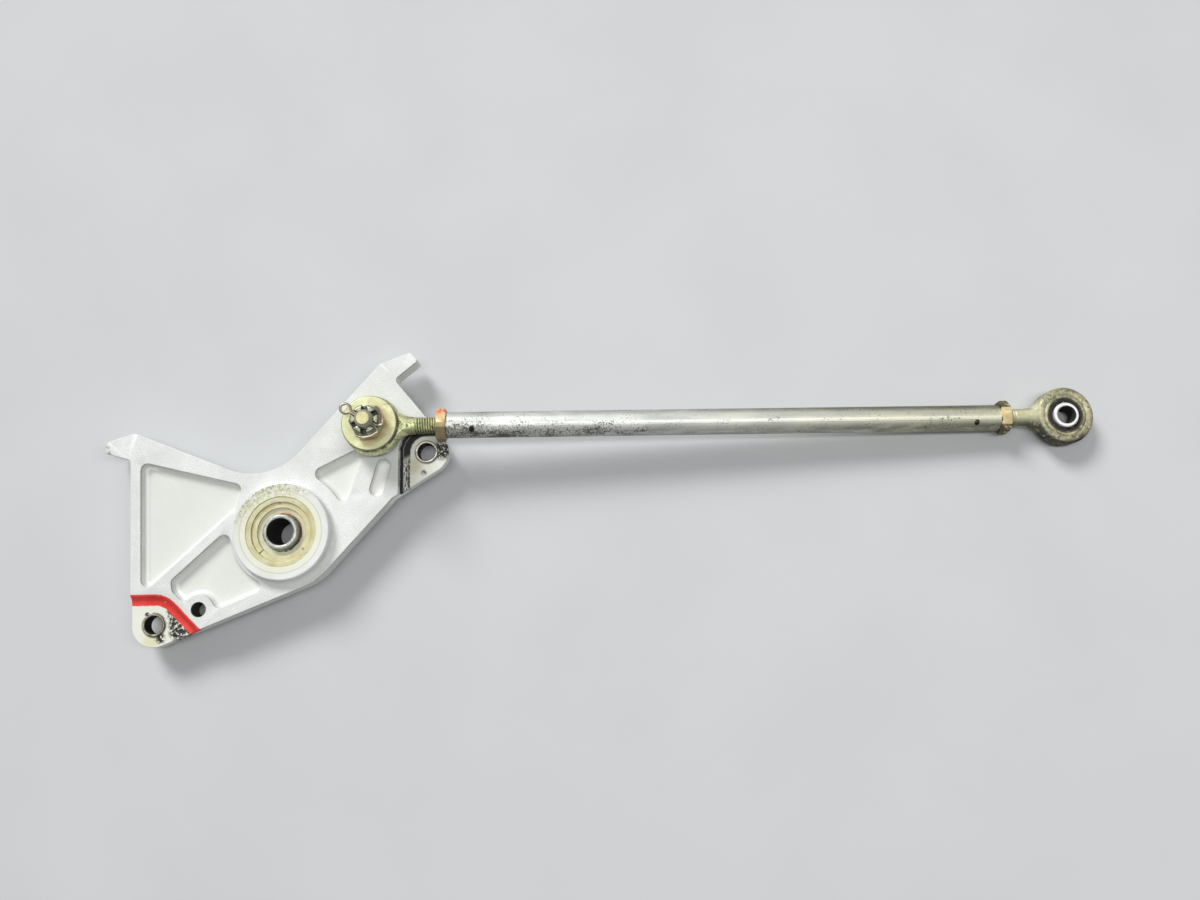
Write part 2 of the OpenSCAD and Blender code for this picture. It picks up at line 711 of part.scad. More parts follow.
bellcrank_plate();
lower_lug_bush();
right_lug_bush();
pivot_bearing_outer_ring();
pivot_upper_shield();
pivot_lower_shield();
pivot_upper_snap_ring();
pivot_lower_snap_ring();
pivot_bearing_balls();
pivot_bearing_inner_ring();
pivot_sleeve();
attach_bolt();
under_head_washer();
spacer_washer();
left_rod_end_inner_ring();
large_washer();
castle_nut();
cotter_pin();
left_rod_end_balls();
left_rod_end_body();
left_upper_seal();
left_lower_seal();
left_jam_nut();
push_rod_tube();
right_jam_nut();
right_rod_end_body();
right_upper_seal();
right_lower_seal();
right_rod_end_balls();
right_rod_end_inner_ring();
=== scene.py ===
# %% [markdown]
# # A control bellcrank with its push-pull rod
# The solids of this part are already drawn to size. This lesson dresses them: it rounds the edges
# that a cutter and a file leave, cuts the threads, bends the split pin and paints every surface
# with a procedural finish. Each step says what the piece is, how it could be made and why this way.

import json
import math

import bmesh
import bpy
import numpy as np
from mathutils import Matrix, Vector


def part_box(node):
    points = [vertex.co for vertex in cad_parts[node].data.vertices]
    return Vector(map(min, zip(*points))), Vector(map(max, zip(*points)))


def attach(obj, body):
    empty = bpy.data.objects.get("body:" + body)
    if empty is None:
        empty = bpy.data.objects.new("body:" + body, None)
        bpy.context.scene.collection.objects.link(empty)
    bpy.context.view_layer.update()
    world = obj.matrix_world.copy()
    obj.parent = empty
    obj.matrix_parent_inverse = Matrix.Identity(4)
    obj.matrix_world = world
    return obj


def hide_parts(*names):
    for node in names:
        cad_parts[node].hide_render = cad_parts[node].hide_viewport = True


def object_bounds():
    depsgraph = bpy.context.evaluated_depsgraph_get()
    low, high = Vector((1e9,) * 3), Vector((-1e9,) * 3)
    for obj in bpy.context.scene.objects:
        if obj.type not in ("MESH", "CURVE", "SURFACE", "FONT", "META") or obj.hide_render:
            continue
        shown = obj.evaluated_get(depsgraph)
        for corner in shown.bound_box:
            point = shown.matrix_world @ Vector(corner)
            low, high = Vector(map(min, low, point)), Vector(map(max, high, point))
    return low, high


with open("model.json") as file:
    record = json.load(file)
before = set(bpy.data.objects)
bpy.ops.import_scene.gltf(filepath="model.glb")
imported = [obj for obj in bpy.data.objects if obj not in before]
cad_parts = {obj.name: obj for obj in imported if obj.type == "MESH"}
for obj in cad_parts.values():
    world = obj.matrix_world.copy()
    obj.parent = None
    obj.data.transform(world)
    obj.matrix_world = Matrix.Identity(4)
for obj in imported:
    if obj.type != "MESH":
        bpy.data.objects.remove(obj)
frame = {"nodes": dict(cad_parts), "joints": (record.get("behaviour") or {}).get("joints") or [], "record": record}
solid_low, solid_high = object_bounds()
print("solids:", len(frame["nodes"]), "box", [round(v, 4) for v in (*solid_low, *solid_high)])

# %% [markdown]
# ## Places
# Nothing is placed by eye. The record names the joints and the bores, so the two lugs, the bolt
# and both eyes of the rod are read from it, the pivot is the origin, and most later steps count from these points.
# Patterns are easier to think about in millimetres, so the places are kept in millimetres too.

# %% Read the places
MM = 0.001
joint_at = {j["name"]: np.array(j["pos_m"]) / MM for j in frame["joints"]}
mount_at = {m["name"]: np.array(m["pos_m"]) / MM for m in frame["record"]["mounts"]}
left_eye = joint_at["rod_tilt"]
right_eye = joint_at["far_eye_tilt"]
lower_lug = mount_at["lower_lug_bore"]
right_lug = mount_at["right_lug_bore"]
bore_r = {m["name"]: m["dims"]["r_mm"] for m in frame["record"]["mounts"]}
rod_length = float(np.linalg.norm(right_eye - left_eye))
rod_along = (right_eye - left_eye) / rod_length
rod_across = np.array([0.0, 1.0, 0.0])
rod_up = np.cross(rod_along, rod_across)
print("eyes", round(rod_length, 2), "mm apart, rod falls",
      round(math.degrees(math.asin(-rod_along[2])), 2), "degrees")

# %% [markdown]
# ## Meshes from arrays
# A turned or swept piece is a grid of points: one parameter runs along a profile, the other round
# an axis or along a path. The whole grid is one numpy expression, and a second one numbers its
# quads. Points that fall together on an axis are merged, which closes the poles.

# %% Grid helpers
def grid_quads(rows, cols, wrap_rows, wrap_cols):
    """Quads of a rows x cols grid: each point with its right, upper right and upper neighbour."""
    i, j = np.meshgrid(
        np.arange(rows if wrap_rows else rows - 1),
        np.arange(cols if wrap_cols else cols - 1),
        indexing="ij",
    )
    up, right = (i + 1) % rows, (j + 1) % cols
    return np.stack([i * cols + j, i * cols + right, up * cols + right, up * cols + j], -1).reshape(-1, 4)


def turned(radius, height, steps, closed=False):
    """Surface of revolution about Z: (r cos a, r sin a, h); radius may also vary with the angle."""
    angle = np.linspace(0, 2 * np.pi, steps, endpoint=False)
    r = np.broadcast_to(radius if np.ndim(radius) == 2 else np.asarray(radius)[:, None],
                        (len(height), steps))
    h = np.broadcast_to(np.asarray(height)[:, None], r.shape)
    points = np.stack([r * np.cos(angle), r * np.sin(angle), h], -1)
    return points.reshape(-1, 3), grid_quads(len(height), steps, closed, True)


def swept(path, section):
    """Section (across, up) carried along a nearly level path: path + side * across + Z * up."""
    ahead = np.gradient(path, axis=0)
    side = np.cross([0, 0, 1.0], ahead)
    side /= np.linalg.norm(side, axis=1, keepdims=True)
    across = side[:, None] * section[None, :, :1]
    points = path[:, None] + across + np.array([0, 0, 1.0]) * section[None, :, 1:]
    return points.reshape(-1, 3), grid_quads(len(path), len(section), False, True)


def placed(shell, origin, along, across, up):
    """Moves a shell from its own axes to origin + x along + y across + z up."""
    points, quads = shell
    return origin + points @ np.array([along, across, up]), quads


# %% [markdown]
# ## Rounded edges
# No real edge is a perfect corner: it catches the light as a thin bright line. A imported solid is
# loose triangles, so a copy is merged first, its slivers are closed, and a Bevel modifier then
# rounds only the edges that are sharper than a set angle. The fillets that are already there stay.

# %% Pieces and softened copies
def dress(piece, body, slot, finish, *nodes):
    """Gives a piece its finish and its body, and hides the solids it stands for; slot is not used."""
    piece.data.materials.clear()
    piece.data.materials.append(finish)
    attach(piece, body)
    if nodes:
        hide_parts(*nodes)


def piece_of(name, *shells, sharp):
    """One mesh from shells in millimetres, doubles merged, faces outwards, smooth below an angle."""
    starts = np.cumsum([0] + [len(shell[0]) for shell in shells])
    points = np.concatenate([shell[0] for shell in shells]) * MM
    quads = np.concatenate([shell[1] + start for shell, start in zip(shells, starts)])
    mesh = bpy.data.meshes.new(name)
    mesh.from_pydata(points.tolist(), [], quads.tolist())
    tidy = bmesh.new()
    tidy.from_mesh(mesh)
    bmesh.ops.remove_doubles(tidy, verts=tidy.verts, dist=1e-6)
    bmesh.ops.dissolve_degenerate(tidy, edges=tidy.edges, dist=1e-7)
    bmesh.ops.recalc_face_normals(tidy, faces=tidy.faces)
    tidy.to_mesh(mesh)
    tidy.free()
    mesh.shade_smooth()
    mesh.set_sharp_from_angle(angle=math.radians(sharp))
    piece = bpy.data.objects.new(name, mesh)
    bpy.context.scene.collection.objects.link(piece)
    return piece


def softened(node, width, sharp=34, segments=2):
    """Copy of a solid with doubles merged, slivers closed and sharp edges rounded by width mm."""
    mesh = bpy.data.meshes.new(node + ".soft")
    copy = bmesh.new()
    copy.from_mesh(frame["nodes"][node].data)
    bmesh.ops.remove_doubles(copy, verts=copy.verts, dist=2e-6)
    bmesh.ops.dissolve_degenerate(copy, edges=copy.edges, dist=4e-5)
    copy.to_mesh(mesh)
    copy.free()
    mesh.shade_smooth()
    mesh.set_sharp_from_angle(angle=math.radians(sharp))
    piece = bpy.data.objects.new(node + ".soft", mesh)
    bpy.context.scene.collection.objects.link(piece)
    bevel = piece.modifiers.new("edge", "BEVEL")
    bevel.width = width * MM
    bevel.segments = segments
    bevel.limit_method = "ANGLE"
    bevel.angle_limit = math.radians(sharp)
    bevel.use_clamp_overlap = False
    bevel.loop_slide = False
    bevel.harden_normals = True
    return piece


# %% [markdown]
# ## Shader sums
# A finish is mostly arithmetic on masks: near this bush and on that side and where the noise is
# high. One small class wraps a node's output, so that masks are added and multiplied as Python
# values. Colours go through Mix nodes, and any other node comes from the one method `node`.

# %% The wire class
class Wire:
    """An output socket; sums and products of wires and numbers add Math nodes to its tree."""

    def __init__(self, tree, socket=None):
        self.tree = tree
        self.socket = socket

    def node(self, kind, settings=None, sockets=None, out=0):
        """Adds a node of any kind: settings first, then socket values or links; returns an output."""
        made = self.tree.nodes.new("ShaderNode" + kind)
        for name, value in (settings or {}).items():
            setattr(made, name, value)
        for key, value in (sockets or {}).items():
            if isinstance(value, Wire):
                self.tree.links.new(value.socket, made.inputs[key])
            else:
                made.inputs[key].default_value = value
        return Wire(self.tree, made.outputs[out])

    def math(self, operation, *values):
        """One Math node on wires and numbers."""
        return self.node("Math", {"operation": operation}, dict(enumerate(values)))

    def __add__(self, other):
        return self.math("ADD", self, other)

    def __sub__(self, other):
        return self.math("SUBTRACT", self, other)

    def __rsub__(self, other):
        return self.math("SUBTRACT", other, self)

    def __mul__(self, other):
        return self.math("MULTIPLY", self, other)

    def __truediv__(self, other):
        return self.math("DIVIDE", self, other)

    def __pow__(self, other):
        return self.math("POWER", self, other)

    def __abs__(self):
        return self.math("ABSOLUTE", self)

    __radd__ = __add__
    __rmul__ = __mul__

    def most(self, other):
        """The greater of two masks."""
        return self.math("MAXIMUM", self, other)

    def rise(self, low, high):
        """0 below low, 1 above high, smooth between."""
        sockets = {"Value": self, "From Min": low, "From Max": high}
        return self.node("MapRange", {"interpolation_type": "SMOOTHSTEP"}, sockets)

    def fall(self, low, high):
        """1 below low, 0 above high, smooth between."""
        return 1 - self.rise(low, high)

    def xyz(self):
        """The three parts of a vector."""
        return [self.node("SeparateXYZ", None, {0: self}, k) for k in range(3)]

    def stretched(self, x, y, z):
        """A place scaled on each axis; less than 1 draws a pattern out along it."""
        return self.node("VectorMath", {"operation": "MULTIPLY"}, {0: self, 1: (x, y, z)})

    def noise(self, size, detail, rough):
        """Cloudy noise whose blots are about size millimetres across."""
        sockets = {"Vector": self, "Scale": 1 / size, "Detail": detail, "Roughness": rough}
        return self.node("TexNoise", None, sockets)

    def paint(self, over, colour):
        """Mixes colour over another by this mask."""
        sockets = {0: self, 6: over, 7: colour}
        return self.node("Mix", {"data_type": "RGBA"}, sockets, 2)


def srgb(red, green, blue):
    """Screen colour 0 to 255 as the linear colour that a shader takes."""
    c = np.array([red, green, blue]) / 255
    linear = np.where(c <= 0.04045, c / 12.92, ((c + 0.055) / 1.055) ** 2.4)
    return (*linear.tolist(), 1.0)


def finish_of(name, recipe, **constants):
    """Material from a recipe: recipe(p) gets the place in millimetres and returns what varies."""
    material = bpy.data.materials.new(name)
    material.use_nodes = True
    tree = material.node_tree
    tree.nodes.clear()
    start = Wire(tree)
    place = start.node("TexCoord", None, None, "Object")
    p = start.node("VectorMath", {"operation": "SCALE"}, {0: place, "Scale": 1 / MM})
    sockets = recipe(p)
    if "bump" in sockets:
        height, depth = sockets.pop("bump")
        links = {"Height": height, "Strength": 1.0, "Distance": depth * MM}
        sockets["Normal"] = start.node("Bump", None, links)
    shader = start.node("BsdfPrincipled", None, {**constants, **sockets})
    output = tree.nodes.new("ShaderNodeOutputMaterial")
    tree.links.new(shader.socket, output.inputs["Surface"])
    print("finish", name, len(tree.nodes), "nodes")
    return material


# %% [markdown]
# ## The paint of the plate
# The plate is milled aluminium under a thin pale paint. Grease has crept out of the bearing and
# the two lugs, and a red band marks the step of the lower lug. All of this follows the shape, so
# the masks are distances: to the pivot, to a lug, or to the straight and round edge of a step.
# Some of it is painted light and shade: highlights at the foot of the pocket walls, a white slot floor, a brighter
# right lug floor, shade on the rims and in the rig pin hole, and the rod's shadow over the right lug.

# %% Plate paint
pivot = (0.0, 0.0)
plate_top = 4.0
pocket_floor = 1.0
boss_top = 8.0
boss_r = 17.5
boss_line_r = 14.85
seat_r = 10.3
lug_floor_from, lug_floor_to = -2.2, -2.8
slot_at = (37.5, 18)
left_wall_x = -48
lit_corner = (-37.6, -22.6)
hook_tip = (-67, 31.4)


def beyond_step(x, y, lug, low, high):
    """Distance past a step: the most of q . n over normals n from low to high degrees, less a radius."""
    angles = np.radians(np.linspace(low, high, 6))
    reach = None
    for angle in angles:
        d = (x - float(lug[0])) * math.cos(angle) + (y - float(lug[1])) * math.sin(angle)
        reach = d if reach is None else reach.most(d)
    return reach - seat_r


def towards(x, y, centre, degrees):
    """Distance from a centre measured along one direction."""
    a = math.radians(degrees)
    return (x - float(centre[0])) * math.cos(a) + (y - float(centre[1])) * math.sin(a)


def away(x, y, centre):
    """Distance from a centre, seen from above."""
    dx, dy = x - float(centre[0]), y - float(centre[1])
    return (dx * dx + dy * dy) ** 0.5


def spot(x, y, centre, across, along, inner, outer):
    """Round patch: 1 within inner of a point beside a centre, 0 past outer."""
    return away(x, y, (centre[0] + across, centre[1] + along)).fall(inner, outer)


def bore_wall(r, mount):
    """Mask of a thin skin round a mount's bore, by the distance from its axis."""
    return r.fall(bore_r[mount] + 0.08, bore_r[mount] + 0.2)


def in_bore(mount):
    """Mask of the wall of a mount's upright bore."""
    return lambda p, x, y, z: bore_wall(away(x, y, mount_at[mount]), mount)


def plate_recipe(p):
    """Pale paint with its grain, then what lies on it and the painted light and shade, from the middle out to the
    lugs.
    """
    x, y, z = p.xyz()
    level = abs(z)
    upper = z.rise(0.2, 0.6)
    cloud = p.noise(14, 5, 0.6)
    fine = p.noise(0.5, 3, 0.6)
    blots = p.noise(1.3, 4, 0.7)
    colour = cloud.rise(0.35, 0.68).paint(srgb(221, 224, 221), srgb(237, 239, 237))
    grain = fine.rise(0.42, 0.6) * (0.4 - level.rise(plate_top + 1, plate_top + 3) * 0.25)
    colour = grain.paint(colour, srgb(196, 200, 195))
    # the pockets: a greyer floor, a painted highlight at the foot of the walls (strongest on the left wall and one
    # corner), a slot floor painted white as painted light, and painted shade on the rims
    floor = level.fall(pocket_floor + 0.3, pocket_floor + 1.4)
    colour = (floor * 0.8).paint(colour, srgb(223, 226, 219))
    lit = x.fall(left_wall_x - 1, left_wall_x + 1).most(away(x, y, lit_corner).fall(4, 7))
    above_floor = level - pocket_floor
    foot_highlight = above_floor.rise(0.02, 0.1) * above_floor.fall(0.35, 0.7)
    slot_floor_light = floor * away(x, y, slot_at).fall(7, 8.5)
    colour = (foot_highlight * (0.15 + lit * 0.85)).most(slot_floor_light).paint(colour, srgb(252, 252, 250))
    # painted shade: the wall of the rig pin hole near black
    hole = in_bore("rig_pin_hole")(p, x, y, z)
    colour = (hole * 0.95).paint(colour, srgb(30, 29, 27))
    specks = p.noise(0.9, 3, 0.75).rise(0.63, 0.7) * cloud.rise(0.45, 0.7)
    colour = (specks * 0.45).paint(colour, srgb(120, 118, 106))
    below_top = plate_top - level
    # painted shade: a dark band just under the top face, along the top of the pocket and side walls
    rim_shade = below_top.rise(0.05, 0.3) * below_top.fall(0.6, 1.0) * p.noise(5, 4, 0.6).rise(0.3, 0.5)
    colour = (rim_shade * upper * 0.75).paint(colour, srgb(104, 104, 90))
    # the boss face: a yellow creep of grease round the bearing, crusted on its upper side
    r = away(x, y, pivot)
    boss = level.rise(boss_top - 1.8, boss_top - 0.4) * r.fall(boss_r - 0.3, boss_r + 0.3)
    creep = boss * (r + cloud * 5).fall(15.2, 19.4)
    colour = (creep * 0.75).paint(colour, srgb(232, 233, 204))
    crust_side = (towards(x, y, pivot, 112) / r).rise(0.35, 0.95) * upper
    crust = boss * crust_side * (blots + (r - 15) * 0.03).rise(0.34, 0.56)
    colour = (crust * 0.6).paint(colour, srgb(192, 191, 136))
    flakes = boss * crust_side * (blots * 0.7 + fine * 0.7 + (r - 15) * 0.04).rise(0.78, 0.86)
    colour = (flakes * 0.8).paint(colour, srgb(84, 79, 54))
    ring = r.rise(boss_line_r - 0.25, boss_line_r - 0.05) * r.fall(boss_line_r + 0.1, boss_line_r + 0.3)
    ring = ring * level.rise(boss_top - 1.0, boss_top - 0.2)
    colour = (ring * 0.35).paint(colour, srgb(150, 147, 124))
    # the lower lug: creamy floor, black grease in patches, red band on the step
    lower = beyond_step(x, y, lower_lug, 45, 90)
    low_side = y.fall(-14, -10) * x.fall(-26, -22)
    low_floor = lower.fall(lug_floor_to, lug_floor_from) * low_side
    colour = (low_floor * 0.6).paint(colour, srgb(236, 238, 218))
    yellow = spot(x, y, lower_lug, -1, -6, 1, 4) * low_floor
    colour = (yellow * 0.6).paint(colour, srgb(216, 213, 164))
    ragged_x = towards(x, y, lower_lug, 8) + (p.noise(2.6, 4, 0.7) - 0.5) * 5
    beside = ragged_x.rise(4.4, 6.4) * lower.fall(-3.2, -2.2) * lower.rise(-10.5, -8)
    patch = beside.most(spot(x, y, lower_lug, 2.5, -4.7, 1.0, 2.6))
    patch = patch.most(spot(x, y, lower_lug, -2.7, 3.9, 0.4, 1.1)) * low_side
    smear = patch * (blots + fine * 0.35).rise(0.58, 0.67)
    colour = (smear * 0.99).paint(colour, srgb(26, 24, 19))
    low_rim = away(x, y, lower_lug).fall(4.2, 4.8) * low_floor * blots.rise(0.3, 0.5)
    colour = (low_rim * 0.75).paint(colour, srgb(62, 57, 46))
    ragged = lower + (blots - 0.5) * 0.7
    band = ragged.rise(-3.5, -3.2) * ragged.fall(0.55, 0.8) * low_side * upper
    band = band * (1 - p.noise(2.2, 4, 0.7).rise(0.6, 0.72) * 0.35)
    colour = band.paint(colour, cloud.rise(0.3, 0.7).paint(srgb(220, 54, 48), srgb(240, 78, 70)))
    # the right lug: a floor painted brighter as painted light, black grease and a painted shadow along its step,
    # grey streaks below, flecks by the bush
    wall = beyond_step(x, y, right_lug, 90, 180) + (blots - 0.5) * 0.5
    near = x.rise(39, 41) * y.fall(42, 44) * upper
    right_floor = wall.fall(lug_floor_to, lug_floor_from) * near
    # painted light: the lug floor, which lies in the rod's shadow, is painted brighter
    colour = (right_floor * 0.6).paint(colour, srgb(238, 240, 224))
    yellow = spot(x, y, right_lug, -4.6, -5, 1.5, 4) * right_floor
    colour = (yellow * 0.6).paint(colour, srgb(204, 202, 158))
    high = towards(x, y, right_lug, 115).rise(-0.5, 2.5)
    brink = wall.rise(-2.0, -1.6) * wall.fall(-0.8, -0.5)
    # painted shadow of the rod, over black grease, in the arc above the bush
    grease_and_shadow_arc = wall.rise(-4.7, -4.0) * wall.fall(-2.0, -1.6) * high
    streaks = p.stretched(1, 0.3, 1).noise(0.5, 4, 0.7).rise(0.44, 0.58)
    slope = wall.rise(-4.0, -3.6) * wall.fall(-2.0, -1.7) * (1 - high) * streaks
    slope_foot = wall.rise(-4.4, -4.0) * wall.fall(-3.7, -3.4) * (1 - high) * blots.rise(0.38, 0.5)
    dark = brink.most(slope).most(slope_foot).most(grease_and_shadow_arc) * near
    colour = (dark * 0.99).paint(colour, srgb(22, 21, 18))
    by_bush = spot(x, y, right_lug, 5.6, 0.6, 2.4, 4.4).most(spot(x, y, right_lug, -1, -7.6, 0.3, 1.6))
    flecks = by_bush * near * (blots + fine * 0.5).rise(0.66, 0.74)
    colour = (flecks * 0.97).paint(colour, srgb(38, 35, 28))
    right_rim = away(x, y, right_lug).fall(4.2, 4.7) * right_floor * blots.rise(0.3, 0.5)
    colour = (right_rim * 0.7).paint(colour, srgb(70, 66, 54))
    # chips at the tip of the left hook
    chips = away(x, y, hook_tip).fall(1.2, 3.2) * blots.rise(0.52, 0.58)
    colour = (chips * 0.9).paint(colour, srgb(96, 84, 70))
    grease_and_shadow = smear.most(dark).most(flecks)
    rough = 0.4 + cloud * 0.12 + grease_and_shadow * 0.25 + hole * 0.5
    height = fine * 0.5 + p.noise(2.4, 3, 0.5) * 0.5 + grease_and_shadow * 1.6
    return {"Base Color": colour, "Roughness": rough, "bump": (height, 0.05)}


plate_paint = finish_of("plate_paint", plate_recipe, **{"Specular IOR Level": 0.45})

# %% [markdown]
# ## Plated steel
# Bolts, washers, rod ends and nuts are steel under a thin yellow passivated plating. It is a metal,
# so its colour is the colour of its reflections; stains and worn spots make it duller. One recipe
# takes two plating colours, a stain colour and how much of it. A second one lays a colour over any
# recipe where a mask says so: grease and painted shade in a bore, painted shade on edges, facets
# and flanks, rust beside a nut, lacquer on a thread.

# %% Plating recipes
def plating(light, dark, stain, stain_share, size, rough, metal):
    """Recipe of a plated metal: cloudy between two colours, with stains in clusters."""
    low = 0.72 - 0.34 * stain_share

    def recipe(p):
        cloud = p.noise(size, 5, 0.6)
        fine = p.noise(0.35, 3, 0.6)
        cluster = (p.noise(size * 2, 3, 0.6) - 0.5) * 0.7
        blot = (p.noise(size * 0.45, 5, 0.7) + cluster).rise(low, low + 0.16)
        colour = cloud.rise(0.35, 0.65).paint(dark, light)
        colour = (blot * 0.85).paint(colour, stain)
        roughness = rough + (cloud - 0.5) * 0.2 + blot * 0.2
        return {
            "Base Color": colour,
            "Roughness": roughness,
            "Metallic": metal - blot * (metal * 0.6),
            "bump": (fine + blot * 0.6, 0.02),
        }

    return recipe


def stained(base, where, colour, share=0.9, dull=0.0):
    """Recipe that lays a colour over another recipe and dulls it; where(p, x, y, z) is the mask."""

    def recipe(p):
        sockets = base(p)
        mask = where(p, *p.xyz()) * share
        sockets["Base Color"] = mask.paint(sockets["Base Color"], colour)
        sockets["Metallic"] = sockets["Metallic"] * (1 - mask * 0.8)
        sockets["Roughness"] = sockets["Roughness"] + mask * dull
        return sockets

    return recipe


def along_rod(x, z):
    """Distance from the left eye along the rod."""
    ahead, up = x - float(left_eye[0]), z - float(left_eye[2])
    return ahead * float(rod_along[0]) + up * float(rod_along[2])


def above_rod(x, z):
    """Distance above the rod's axis."""
    ahead, up = x - float(left_eye[0]), z - float(left_eye[2])
    return ahead * float(rod_up[0]) + up * float(rod_up[2])


def in_far_eye(p, x, y, z):
    """Mask of the bore of the open eye, which leans with the rod."""
    t, across = along_rod(x, z) - rod_length, y - float(right_eye[1])
    r = (t * t + across * across) ** 0.5
    return bore_wall(r, "rod_end_bore")


def grease_and_shadow_ring(p, x, y, z):
    """Black grease round the sleeve, widened on its right side by a painted shadow of the sleeve."""
    r = away(x, y, pivot)
    shadow_side = (towards(x, y, pivot, -20) / r).rise(-0.6, 0.8) * 0.7
    return (r - shadow_side + (p.noise(1.4, 4, 0.7) - 0.5) * 1.4).fall(6.35, 6.7)


def rusty_edge(p, x, y, z):
    """Rust that has bled from under the sleeve on its upper right side."""
    r = away(x, y, pivot)
    side = (towards(x, y, pivot, 35) / r).rise(-0.2, 0.7)
    return side * (r + (p.noise(2, 4, 0.7) - 0.5) * 3).fall(6.9, 8.2)


# %% Bearing and bush finishes
def grease_and_shade_in_bore(base, where):
    """Recipe with the bore painted near black, old grease and painted shade, where a mask says so."""
    return stained(base, where, srgb(18, 17, 15), share=0.97, dull=0.55)


bush = plating(
    srgb(226, 223, 212), srgb(188, 184, 172), srgb(60, 54, 44),
    stain_share=0.3, size=2.0, rough=0.34, metal=0.8)
worn_bush = plating(
    srgb(186, 178, 160), srgb(132, 121, 102), srgb(48, 42, 34),
    stain_share=0.4, size=1.6, rough=0.4, metal=0.7)
lower_bush_steel = finish_of("lower_bush_steel", grease_and_shade_in_bore(worn_bush, in_bore("lower_lug_bore")))
right_bush_steel = finish_of("right_bush_steel", grease_and_shade_in_bore(bush, in_bore("right_lug_bore")))
bearing_steel = finish_of("bearing_steel", plating(
    srgb(210, 208, 174), srgb(192, 185, 138), srgb(140, 117, 70),
    stain_share=0.26, size=7.0, rough=0.46, metal=0.45))
shield_base = plating(
    srgb(212, 214, 193), srgb(200, 199, 167), srgb(150, 136, 94),
    stain_share=0.14, size=6.0, rough=0.5, metal=0.35)
shield_rust = stained(shield_base, rusty_edge, srgb(186, 132, 92), share=0.7)
shield_plating = finish_of("shield", stained(shield_rust, grease_and_shadow_ring, srgb(32, 29, 24), share=0.95))
snap_plating = finish_of("snap_wire", plating(
    srgb(214, 210, 172), srgb(198, 190, 146), srgb(112, 94, 60),
    stain_share=0.22, size=5.0, rough=0.44, metal=0.45))
ball_steel = finish_of("ball_steel", plating(
    srgb(214, 214, 216), srgb(200, 200, 204), srgb(150, 150, 150),
    stain_share=0.02, size=3.0, rough=0.12, metal=0.95))
ground = plating(
    srgb(250, 251, 249), srgb(240, 240, 237), srgb(104, 98, 88),
    stain_share=0.1, size=1.6, rough=0.34, metal=0.35)
worn_ground = plating(
    srgb(214, 216, 209), srgb(176, 178, 169), srgb(74, 68, 55),
    stain_share=0.52, size=1.6, rough=0.36, metal=0.5)
sleeve_steel = finish_of("sleeve_steel", grease_and_shade_in_bore(worn_ground, in_bore("pivot_bore")))
left_ring_steel = finish_of("left_ring_steel", ground)
right_ring_steel = finish_of("right_ring_steel", grease_and_shade_in_bore(ground, in_far_eye))

# %% [markdown]
# ## Bolt, nut, washer and pin
# The castle nut's slots and bore are painted dark as painted shade, so that only the tops of its
# prongs shine. Rust has run out from under it over the large washer, on the side that hung lowest,
# the washer's rim is painted dark as painted shade, and the rim of the bolt's tip has worn to bare grey steel.

# %% Bolt, nut, washer and pin finishes
nut_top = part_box("castle_nut")[1][2] / MM


def nut_slot_shade(p, x, y, z):
    """Painted shade in the slots and bore of the castle nut, below the tops of its prongs."""
    return away(x, y, left_eye).fall(5.05, 5.25) * z.fall(nut_top - 0.5, nut_top - 0.2)


def rust_run(p, x, y, z):
    """Ragged run of rust over the washer, to the lower right of the nut."""
    r = away(x, y, left_eye)
    hung = (towards(x, y, left_eye, -25) / r).rise(-0.5, 0.6)
    return (r + (p.noise(3, 4, 0.6) - 0.5) * 5).fall(6.6, 9.2) * hung


def worn_tip(p, x, y, z):
    """Worn grey thread and chamfer round the flat tip of the bolt."""
    return away(x, y, left_eye).rise(2.15, 2.3) * z.rise(nut_top - 0.5, nut_top)


def washer_rim_shade(p, x, y, z):
    """Painted shade on the outer edge of the large washer."""
    return away(x, y, left_eye).rise(9.65, 9.9)


gold_base = plating(
    srgb(218, 214, 162), srgb(198, 192, 142), srgb(88, 80, 54),
    stain_share=0.24, size=2.4, rough=0.4, metal=0.6)
cadmium_gold = finish_of("cadmium_gold", gold_base)
bolt_plating = finish_of("bolt_gold", stained(gold_base, worn_tip, srgb(140, 140, 130), share=0.85))
nut_base = plating(
    srgb(204, 204, 178), srgb(146, 147, 126), srgb(70, 68, 52),
    stain_share=0.4, size=1.4, rough=0.42, metal=0.75)
nut_plating = finish_of("castle_nut_plating", stained(nut_base, nut_slot_shade, srgb(38, 50, 44)))
pin_wire = finish_of("pin_wire", plating(
    srgb(192, 184, 158), srgb(152, 144, 122), srgb(70, 62, 48),
    stain_share=0.3, size=1.5, rough=0.38, metal=0.8))
washer_base = plating(
    srgb(223, 226, 182), srgb(208, 209, 162), srgb(160, 132, 82),
    stain_share=0.24, size=6.0, rough=0.46, metal=0.4)
washer_stain = stained(washer_base, rust_run, srgb(196, 160, 102), share=0.55)
washer_plating = finish_of("stained_washer", stained(
    washer_stain, washer_rim_shade, srgb(74, 67, 44), share=0.8))


def seal_recipe(p):
    """Matt black rubber with a dusting of fine pale dirt."""
    dust = p.noise(0.6, 4, 0.7).rise(0.58, 0.72)
    colour = (dust * 0.5).paint(srgb(20, 20, 19), srgb(58, 55, 48))
    return {"Base Color": colour, "Roughness": 0.55 + dust * 0.3, "bump": (dust, 0.02)}


seal_rubber = finish_of("seal_rubber", seal_recipe)

# %% [markdown]
# ## Rod ends, jam nuts and tube
# A dab of orange lacquer was brushed over the left nut and its thread, so that a slipped nut would
# show. The tube is drawn steel with dull plating: faint lines along it, black specks of grime, a
# browner right end, painted shade on its flanks and witness holes painted black. Necks, nuts and
# heads carry painted shade too. All of these read how far along the rod and on which side of it a point lies.

